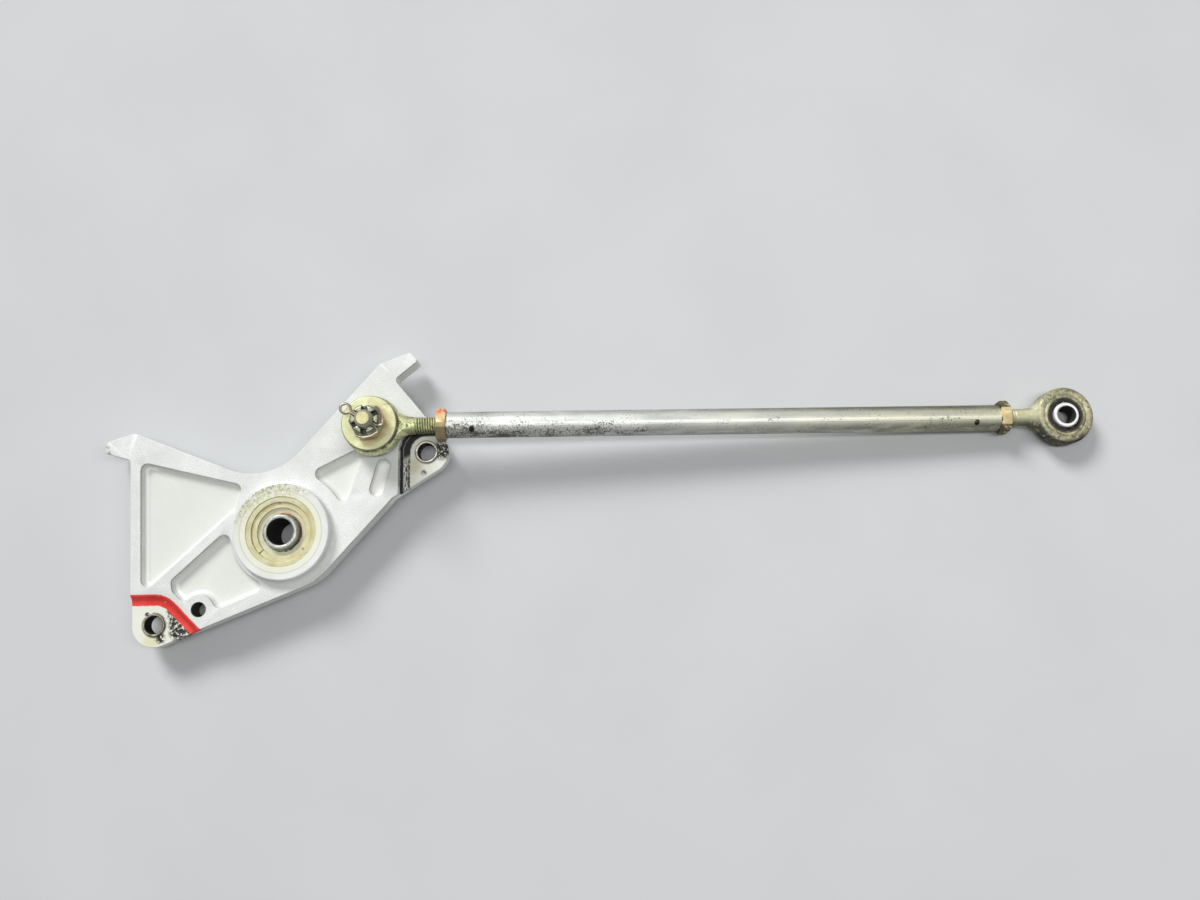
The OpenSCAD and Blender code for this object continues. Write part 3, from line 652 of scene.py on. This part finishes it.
# %% Rod finishes
def left_y(y):
    """Distance beside the rod's axis."""
    return y - float(left_eye[1])


def lacquer(low, high):
    """Mask on the +Y side of the rod, from low to high along it."""
    return lambda p, x, y, z: (left_y(y).rise(1.4, 4.6) * along_rod(x, z).rise(low, high)
                               * p.noise(1.1, 4, 0.7).rise(0.38, 0.52))


def thread_dirt(p, x, y, z):
    """Grime in the valleys of the left thread, by the distance from the rod's axis."""
    across = left_y(y)
    up = above_rod(x, z)
    r = (across * across + up * up) ** 0.5
    return along_rod(x, z).rise(14.6, 15.8) * (r + (p.noise(1.5, 4, 0.7) - 0.5) * 0.6).fall(2.78, 3.02)


def washer_shadow_and_dirt(p, x, y, z):
    """Dirt and a painted shadow on the head beside the edge of the washer above it."""
    r = away(x, y, left_eye)
    side = (towards(x, y, left_eye, -38) / r).rise(0.1, 0.6)
    return r.fall(9.9, 10.3) * side * p.noise(1.6, 4, 0.7).rise(0.36, 0.5)


def neck_flank_shade(p, x, y, z):
    """Painted shade on both flanks of the necks and threads, past the heads."""
    half = rod_length / 2
    between = abs(along_rod(x, z) - half).fall(half - 13.5, half - 11)
    return abs(left_y(y)).rise(1.6, 3.0) * between * p.noise(1.6, 4, 0.6).rise(0.2, 0.5)


def low_half_shade(p, x, y, z):
    """Painted shade on the lower half of the left nut."""
    return left_y(y).fall(-1.9, -1.1) * p.noise(1.5, 4, 0.6).rise(0.25, 0.45)


def far_neck(p, x, y, z):
    """Cleaner neck of the open eye, running out on its head."""
    return (rod_length - along_rod(x, z) + (p.noise(2, 4, 0.6) - 0.5) * 6).rise(6.5, 10.5)


def far_shade_and_soot(p, x, y, z):
    """Painted shade on the lower flank of the open eye's head, and soot round its seal."""
    r = away(x, y, right_eye)
    flank_shade = (towards(x, y, right_eye, -112) / r).rise(0.25, 0.7) * r.rise(8.8, 10.2)
    collar = r.fall(6.4, 7.0)
    return flank_shade.most(collar) * p.noise(1.8, 4, 0.7).rise(0.28, 0.46)


def nut_sides(p, x, y, z):
    """Darker facets of the right nut, above and below its bright middle one."""
    return abs(left_y(y)).rise(2.9, 3.4) * p.noise(1.6, 4, 0.6).rise(0.25, 0.5)


far_nut_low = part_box("right_jam_nut")[0][0] / MM


def tube_side_shade(p, x, y, z):
    """Painted shade on the face of the right nut against the tube."""
    return x.fall(far_nut_low + 0.1, far_nut_low + 0.5)


orange = srgb(214, 96, 40)
nut_gold = plating(
    srgb(253, 236, 184), srgb(242, 214, 156), srgb(90, 66, 40),
    stain_share=0.28, size=2.2, rough=0.4, metal=0.6)
left_nut_low_shade = stained(nut_gold, low_half_shade, srgb(86, 76, 54), share=0.8)
left_nut_finish = finish_of("jam_nut_gold", stained(left_nut_low_shade, lacquer(20, 21), orange))
right_nut_base = plating(
    srgb(246, 226, 176), srgb(228, 206, 150), srgb(90, 72, 46),
    stain_share=0.24, size=2.5, rough=0.4, metal=0.55)
right_nut_sides = stained(right_nut_base, nut_sides, srgb(58, 56, 38), share=0.95, dull=0.35)
right_nut_plating = finish_of("right_jam_nut", stained(
    right_nut_sides, tube_side_shade, srgb(66, 58, 40), share=0.85))
left_end_base = plating(
    srgb(238, 243, 192), srgb(192, 197, 146), srgb(74, 68, 43),
    stain_share=0.56, size=2.2, rough=0.42, metal=0.5)
left_end_dirt_and_shade = stained(left_end_base, neck_flank_shade, srgb(70, 64, 40), share=0.7)
left_end_dirt_and_shade = stained(left_end_dirt_and_shade, thread_dirt, srgb(52, 46, 28), share=0.85)
left_end_dirt_and_shade = stained(left_end_dirt_and_shade, washer_shadow_and_dirt, srgb(52, 44, 27), share=0.9)
left_end_finish = finish_of("left_rod_end", stained(left_end_dirt_and_shade, lacquer(17, 22), orange))
right_end_base = plating(
    srgb(200, 197, 162), srgb(142, 138, 110), srgb(62, 56, 40),
    stain_share=0.66, size=2.6, rough=0.46, metal=0.6)
right_end_clean_and_shaded = stained(right_end_base, far_neck, srgb(226, 224, 184), share=0.7)
right_end_clean_and_shaded = stained(right_end_clean_and_shaded, neck_flank_shade, srgb(92, 87, 62), share=0.7)
right_end_plating = finish_of("right_rod_end", stained(
    right_end_clean_and_shaded, far_shade_and_soot, srgb(40, 35, 27), share=0.9, dull=0.2))
tube_r = 5.4
tube_low, tube_high = (np.array(corner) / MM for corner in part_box("push_rod_tube"))
tube_middle = float((tube_low[0] + tube_high[0]) / 2 - left_eye[0]) / float(rod_along[0])
tube_half = float(tube_high[0] - tube_low[0]) / 2 - tube_r * abs(float(rod_along[2]))
witness_in = 9.2
witness_side = 2.4


def tube_recipe(p):
    """Drawn steel: fine lines, a warmer right end, painted shade on the flanks and far side, specks of grime, two
    witness holes painted black as painted shade.
    """
    x, y, z = p.xyz()
    t = along_rod(x, z)
    lines = p.stretched(0.02, 1, 1).noise(0.5, 4, 0.6)
    cloud = p.stretched(0.25, 1, 1).noise(5, 5, 0.6)
    colour = cloud.rise(0.35, 0.65).paint(srgb(214, 216, 211), srgb(236, 238, 233))
    warm = (t / rod_length + (cloud - 0.5) * 0.7).rise(0.35, 1.0)
    colour = (warm * 0.75).paint(colour, srgb(214, 212, 176))
    # painted shade: darker flanks, more so towards the right end, and a darker far side
    flank_shade = (abs(left_y(y)) + t.rise(120, 235) * 0.7).rise(2.0, 4.6)
    side_shade = flank_shade * p.stretched(0.3, 1, 1).noise(2, 4, 0.6).rise(0.1, 0.65)
    colour = (side_shade * (0.56 + t.rise(90, 220) * 0.26)).paint(colour, srgb(102, 101, 86))
    far_side_shade = left_y(y).rise(1.8, 4.2) * t.rise(50, 200)
    colour = (far_side_shade * 0.7).paint(colour, srgb(76, 74, 60))
    ends = abs(t - rod_length / 2).rise(70, 116)
    under = left_y(y).fall(-2.6, 1.6) * t.fall(70, 120)
    grime = p.noise(0.7, 5, 0.75) + (p.stretched(0.5, 1, 1).noise(5, 3, 0.6) - 0.5) * 0.45
    specks = (grime + ends * 0.07 + under * 0.1).rise(0.58, 0.7)
    colour = (specks * 0.85).paint(colour, srgb(48, 46, 40))
    from_hole = abs(t - tube_middle) - tube_half + witness_in
    beside_hole = left_y(y) + witness_side
    hole = (from_hole * from_hole + beside_hole * beside_hole) ** 0.5
    # painted shade: the two witness holes painted near black
    colour = (hole.fall(0.85, 1.05) * above_rod(x, z).rise(0, 1)).paint(colour, srgb(20, 19, 17))
    rough = 0.46 + (cloud - 0.5) * 0.2 + specks * 0.25
    return {
        "Base Color": colour,
        "Roughness": rough,
        "Metallic": 0.6 - specks * 0.4,
        "bump": (lines * 0.6 + specks * 0.5, 0.02),
    }


tube_plating = finish_of("tube_plating", tube_recipe)

# %% [markdown]
# ## The milled plate
# The outline, the pockets and the stepped lugs are in the solid, with their fillets. What is left
# is the broken edge that deburring leaves, a quarter of a millimetre, which draws the bright
# lines along the rims.

# %% Plate and its bushes
plate_edge = 0.25
plate = softened("bellcrank_plate", plate_edge)
dress(plate, "bellcrank", "plate_paint", plate_paint, "bellcrank_plate")
for node, finish in (("lower_lug_bush", lower_bush_steel), ("right_lug_bush", right_bush_steel)):
    dress(softened(node, 0.12), "bellcrank", "bush_steel", finish, node)
print("plate copy", len(plate.data.polygons), "faces before its bevel")

# %% [markdown]
# ## The pivot bearing
# A sealed ball bearing: outer ring, a shield held by a spring ring on each side, balls and inner
# ring out of sight, and a bright ground sleeve through the middle. Turned rings only need their
# corners broken and their own plating.

# %% Bearing pieces
for node, slot, finish in (
    ("pivot_bearing_outer_ring", "bearing_steel", bearing_steel),
    ("pivot_upper_shield", "shield", shield_plating),
    ("pivot_lower_shield", "shield", shield_plating),
    ("pivot_upper_snap_ring", "snap_wire", snap_plating),
    ("pivot_lower_snap_ring", "snap_wire", snap_plating),
):
    dress(softened(node, 0.15), "bellcrank", slot, finish, node)
for node, slot, finish in (
    ("pivot_bearing_inner_ring", "bearing_steel", bearing_steel),
    ("pivot_sleeve", "sleeve_steel", sleeve_steel),
):
    dress(softened(node, 0.12), "pivot_inner", slot, finish, node)
for node in ("pivot_bearing_balls", "left_rod_end_balls", "right_rod_end_balls"):
    balls = frame["nodes"][node]
    balls.data.materials.clear()
    balls.data.materials.append(ball_steel)

# %% [markdown]
# ## The attach bolt
# The bolt is one surface over height and angle. Its radius is the lesser of a hexagon and a turned
# limit: the limit is wide at the head, so the hexagon shows there, and narrow along the shank. In
# the thread a triangle wave that winds once a pitch is taken off the radius.

# %% Bolt
bolt_low, bolt_high = (np.array(corner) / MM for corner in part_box("attach_bolt"))
bolt_centre = np.array([left_eye[0], left_eye[1], 0.0])
across_flats = 11.1
bolt_r = 6.35 / 2
bolt_turn = 30
bolt_steps = 96
thread_pitch = 0.907
thread_depth = 0.48


def hexagon_r(steps, flats, turn):
    """Radius of a hexagon by angle: half the flats over cos of the angle from the nearest flat."""
    angle = np.linspace(0, 2 * np.pi, steps, endpoint=False) - math.radians(turn)
    nearest = np.mod(angle, np.pi / 3) - np.pi / 6
    return flats / 2 / np.cos(nearest)


def thread_cut(along, steps):
    """Depth of a thread by length and angle: a triangle wave of length / pitch - angle / turn."""
    turn = np.arange(steps) / steps
    wave = np.mod(along[:, None] / thread_pitch - turn[None], 1.0)
    return thread_depth * np.abs(2 * wave - 1)


head_low, head_top, tip = bolt_low[2], -4.8, bolt_high[2]
thread_from = 14.0
shank_z = np.linspace(thread_from, tip - 0.7, 120)
bolt_z = np.concatenate([
    [head_low, head_low, head_low + 0.12, head_low + 0.3, head_low + 0.55, head_low + 0.8],
    [head_top - 0.15, head_top, head_top, head_top + 0.3],
    shank_z,
    [tip - 0.45, tip - 0.12, tip, tip],
])
bolt_limit = np.concatenate([
    [0, 4.9, 5.25, 5.6, 6.0, 6.5],
    [6.5, 6.25, bolt_r + 0.3, bolt_r],
    np.full(len(shank_z), bolt_r),
    [bolt_r - 0.45, bolt_r - 0.8, bolt_r - 1.0, 0],
])
bolt_radius = np.minimum(hexagon_r(bolt_steps, across_flats, bolt_turn)[None], bolt_limit[:, None])
in_thread = ((bolt_z > thread_from) & (bolt_z < tip - 0.6)).astype(float)
bolt_radius = bolt_radius - thread_cut(bolt_z, bolt_steps) * in_thread[:, None]
bolt_shell = turned(bolt_radius, bolt_z, bolt_steps)
bolt = piece_of("attach_bolt.threaded", placed(bolt_shell, bolt_centre, *np.eye(3)), sharp=28)
dress(bolt, "bellcrank", "cadmium_gold", bolt_plating, "attach_bolt")
print("bolt", len(bolt.data.polygons), "faces")

# %% [markdown]
# ## Washers, castle nut and the rod end's inner ring
# These are turned or milled in the solids already. The nut's prongs and the washers' rims get
# broken edges, and the plating gets its stains.

# %% Clamped pieces
for node, slot, finish, width in (
    ("under_head_washer", "cadmium_gold", cadmium_gold, 0.12),
    ("spacer_washer", "cadmium_gold", cadmium_gold, 0.12),
    ("large_washer", "stained_washer", washer_plating, 0.15),
    ("castle_nut", "cadmium_gold", nut_plating, 0.18),
    ("left_rod_end_inner_ring", "sleeve_steel", left_ring_steel, 0.1),
):
    dress(softened(node, width), "bellcrank", slot, finish, node)

# %% [markdown]
# ## The split pin
# A cotter pin is a half-round wire folded on itself: an open eye on one side, two legs side by side
# through the bolt, and on the other side each leg bent round the nut. Each leg is a half-round
# section carried along a smooth curve through a few points.

# %% Split pin
def smooth_path(points, steps):
    """Catmull-Rom curve through points: the cubic of four neighbours, blended by its parameter."""
    p = np.concatenate([[2 * points[0] - points[1]], points, [2 * points[-1] - points[-2]]])
    t = np.linspace(0, len(points) - 1 - 1e-9, steps)
    k = t.astype(int)
    u = (t - k)[:, None]
    a, b, c, d = p[k], p[k + 1], p[k + 2], p[k + 3]
    square, cube = 2 * a - 5 * b + 4 * c - d, 3 * b - a - 3 * c + d
    return 0.5 * (2 * b + (c - a) * u + square * u**2 + cube * u**3)


pin_turn = math.radians(-31)
pin_z = 21.95
wrap_r = 6.3
eye_r = 1.72
wire = 0.62
wire_steps = 20


def pin_leg(side, sweep):
    """Half-round leg: half of the eye, straight through the bolt, then sweep degrees round the nut."""
    eye = np.radians(np.linspace(180, 28, 9))
    loop = np.stack([-wrap_r - eye_r + eye_r * 1.05 * np.cos(eye), 0.9 * eye_r * np.sin(eye)], -1)
    straight = np.array([[-wrap_r + 0.6, 0.36], [-3.0, 0.32], [0, 0.32], [3.4, 0.32], [5.1, 0.5]])
    bend = np.radians(np.linspace(13, sweep, 9))
    wrapped = (wrap_r + 0.12) * np.stack([np.cos(bend), np.sin(bend)], -1)
    flat = np.concatenate([loop, straight, wrapped]) * np.array([1, side])
    rise = np.concatenate([np.zeros(len(loop) + len(straight)), np.linspace(0, 0.15 * side, len(bend))])
    path = smooth_path(np.column_stack([flat, rise]), 150)
    a = np.linspace(0, 2 * np.pi, wire_steps, endpoint=False)
    section = wire * np.stack([np.maximum(np.cos(a), -0.45) * side, np.sin(a)], -1)
    return swept(path, section)


def capped(shell, count):
    """Closes a swept tube by shrinking a copied ring to a point at each end."""
    rows = shell[0].reshape(-1, count, 3)
    first = np.broadcast_to(rows[0].mean(0), rows[:1].shape)
    last = np.broadcast_to(rows[-1].mean(0), rows[:1].shape)
    rows = np.concatenate([first, rows, last])
    return rows.reshape(-1, 3), grid_quads(len(rows), count, False, True)


pin_axes = np.array([
    [math.cos(pin_turn), math.sin(pin_turn), 0],
    [-math.sin(pin_turn), math.cos(pin_turn), 0],
    [0, 0, 1.0],
])
pin_at = np.array([left_eye[0], left_eye[1], pin_z])
legs = [
    placed(capped(pin_leg(side, sweep), wire_steps), pin_at, *pin_axes)
    for side, sweep in ((1, 80), (-1, 88))
]
pin = piece_of("cotter_pin.split", *legs, sharp=50)
dress(pin, "bellcrank", "pin_wire", pin_wire, "cotter_pin")
print("split pin", len(pin.data.polygons), "faces")

# %% [markdown]
# ## The rod ends
# A rod end is a round head with a ball race and a threaded shank. The head is a closed profile
# turned about the bolt axis, with a staked groove on its faces. The neck and shank are turned about
# the rod: the neck's radius follows the fillet that touches both, its height stays under the faces
# of the head, and a thread is taken off the shank.

# %% Rod end pieces
head_r, head_half, race_r = 10.6, 3.55, 6.84
neck_fillet, shank_r = 8.0, 3.175


def rod_end_head():
    """Closed profile about Z: rounded rim, staked groove on each face, and the spherical race."""
    corner = np.radians(np.linspace(0, 90, 7))
    rim_round = 1.1
    half_r = np.concatenate([
        [head_r + 0.02], head_r - rim_round + rim_round * np.cos(corner), [8.1, 7.7, 7.3, 6.2, 5.9],
    ])
    half_z = np.concatenate([
        [0], head_half - rim_round + rim_round * np.sin(corner),
        [head_half, head_half - 0.22, head_half, head_half, head_half - 0.2],
    ])
    race_z = np.linspace(head_half - 0.4, -head_half + 0.4, 13)
    r = np.concatenate([half_r, np.sqrt(race_r**2 - race_z**2), half_r[:0:-1]])
    z = np.concatenate([half_z, race_z, -half_z[:0:-1]])
    return turned(r, z, 112, closed=True)


def rod_end_shank(reach, thread_start, thread_end, depth_share):
    """Shank about X: thread radius, then the fillet circle up to the head, kept under its faces."""
    neck_x = math.sqrt((head_r + neck_fillet) ** 2 - (shank_r + neck_fillet) ** 2)
    turn = math.atan2(neck_x, shank_r + neck_fillet) + math.radians(3)
    a = np.linspace(turn, 0, 26)
    neck_at = neck_x - neck_fillet * np.sin(a)
    neck_r = shank_r + neck_fillet * (1 - np.cos(a))
    count = int((thread_end - neck_x) / thread_pitch * 9)
    shank_at = np.linspace(neck_x + 0.1, thread_end, count)
    at = np.concatenate([[neck_at[0]], neck_at, shank_at, [reach, reach]])
    r = np.concatenate([[0], neck_r, np.full(count, shank_r), [shank_r - 0.5, 0]])
    steps = 72
    fade = np.clip((at - thread_start) / 0.9, 0, 1) * (at <= thread_end) * depth_share
    radius = r[:, None] - thread_cut(at, steps) * fade[:, None]
    angle = np.arange(steps) / steps * 2 * np.pi
    y, z = radius * np.cos(angle), radius * np.sin(angle)
    limit = head_half - 0.1
    square = 16
    z = z / (1 + np.abs(z / limit) ** square) ** (1 / square)
    points = np.stack([np.broadcast_to(at[:, None], y.shape), y, z], -1)
    return points.reshape(-1, 3), grid_quads(len(at), steps, False, True)


left_shells = [rod_end_head(), rod_end_shank(
    reach=40.8, thread_start=15.0, thread_end=26.0, depth_share=1.0)]
left_end = piece_of("left_rod_end_body.threaded", *[
    placed(shell, left_eye, rod_along, rod_across, rod_up) for shell in left_shells], sharp=40)
dress(left_end, "push_rod", "rod_end_steel", left_end_finish, "left_rod_end_body")
right_shells = [rod_end_head(), rod_end_shank(
    reach=38.4, thread_start=17.6, thread_end=24.0, depth_share=0.55)]
right_end = piece_of("right_rod_end_body.threaded", *[
    placed(shell, right_eye, -rod_along, -rod_across, rod_up) for shell in right_shells], sharp=40)
dress(right_end, "push_rod", "rod_end_steel", right_end_plating, "right_rod_end_body")
print("rod ends", len(left_end.data.polygons), len(right_end.data.polygons), "faces")

# %% [markdown]
# ## Tube, jam nuts, seals and the open eye
# The tube and nuts keep their solids' shape with broken edges. The seals are plain rubber washers,
# so they keep their solids and only get their finish.

# %% Rod pieces
for node, body, slot, finish, width in (
    ("left_jam_nut", "push_rod", "jam_nut_gold", left_nut_finish, 0.16),
    ("right_jam_nut", "push_rod", "jam_nut_gold", right_nut_plating, 0.16),
    ("push_rod_tube", "push_rod", "tube_plating", tube_plating, 0.25),
    ("right_rod_end_inner_ring", "right_eye_ring", "sleeve_steel", right_ring_steel, 0.1),
):
    dress(softened(node, width), body, slot, finish, node)
for node in ("left_upper_seal", "left_lower_seal", "right_upper_seal", "right_lower_seal"):
    seal = frame["nodes"][node]
    seal.data.materials.clear()
    seal.data.materials.append(seal_rubber)

# %% [markdown]
# ## Floor, light and camera
# The part lies on a plain pale floor under a soft lamp beyond its far side, a second one overhead
# that draws the bright line along the tube, and an even sky, so that shadows fall short and towards
# the viewer. The camera looks almost straight down, as in the photograph.

# %% Floor
def floor_recipe(p):
    """Pale board with the faintest clouding."""
    cloud = p.noise(60, 3, 0.5)
    colour = cloud.rise(0.3, 0.7).paint(srgb(204, 206, 208), srgb(207, 209, 211))
    return {"Base Color": colour, "Roughness": 0.86 + cloud * 0.08}


reach = 3000.0
floor_z = solid_low[2] / MM
corners = np.array([[-reach, -reach, floor_z], [reach, -reach, floor_z], [reach, reach, floor_z],
                    [-reach, reach, floor_z]])
floor_mesh = bpy.data.meshes.new("floor")
floor_mesh.from_pydata((corners * MM).tolist(), [], [[0, 1, 2, 3]])
floor = bpy.data.objects.new("floor", floor_mesh)
bpy.context.scene.collection.objects.link(floor)
floor_mesh.materials.append(finish_of("floor_board", floor_recipe, **{"Specular IOR Level": 0.15}))

# %% Lamps and sky
def soft_lamp(name, at, aim, size, watts):
    """Area lamp of size (wide, high) at a place, turned to look at its aim."""
    light = bpy.data.lights.new(name, "AREA")
    light.shape = "RECTANGLE"
    light.size, light.size_y = size
    light.energy = watts
    lamp = bpy.data.objects.new(name, light)
    back = np.array(at, float) - np.array(aim, float)
    back /= np.linalg.norm(back)
    side = np.cross([0, 1.0, 0.1], back)
    side /= np.linalg.norm(side)
    up = np.cross(back, side)
    lamp.matrix_world = Matrix([[*row, place] for row, place in zip(np.array([side, up, back]).T, at)]
                               + [[0, 0, 0, 1]])
    bpy.context.scene.collection.objects.link(lamp)


middle = (0.1, 0.02, 0.0)
soft_lamp("far_lamp", at=(-1.65, 2.7, 2.5), aim=middle, size=(1.5, 1.25), watts=134)
soft_lamp("over_lamp", at=(0.34, 0.0, 0.95), aim=(0.34, 0.05, 0.0), size=(1.1, 0.14), watts=4.2)
world = bpy.data.worlds.new("studio")
bpy.context.scene.world = world
world.use_nodes = True
sky = world.node_tree.nodes["Background"]
sky.inputs["Color"].default_value = (1.0, 0.99, 0.97, 1)
sky.inputs["Strength"].default_value = 0.21

# %% Camera
eye_at = np.array([0.1205, -0.0366, 0.3829])
look = np.array([-0.0132, 0.1674, -0.9858])
look /= np.linalg.norm(look)
up_hint = np.array([0.0234, 0.9856, 0.1671])
right_hand = np.cross(look, up_hint)
right_hand /= np.linalg.norm(right_hand)
upward = np.cross(right_hand, look)
lens = bpy.data.cameras.new("camera")
lens.sensor_width = 36.0
lens.lens = 31.5
lens.clip_start = 0.01
camera = bpy.data.objects.new("camera", lens)
axes = np.array([right_hand, upward, -look]).T
camera.matrix_world = Matrix([[*row, place] for row, place in zip(axes, eye_at)] + [[0, 0, 0, 1]])
bpy.context.scene.collection.objects.link(camera)
bpy.context.scene.camera = camera
bpy.context.scene.view_settings.view_transform = "Standard"
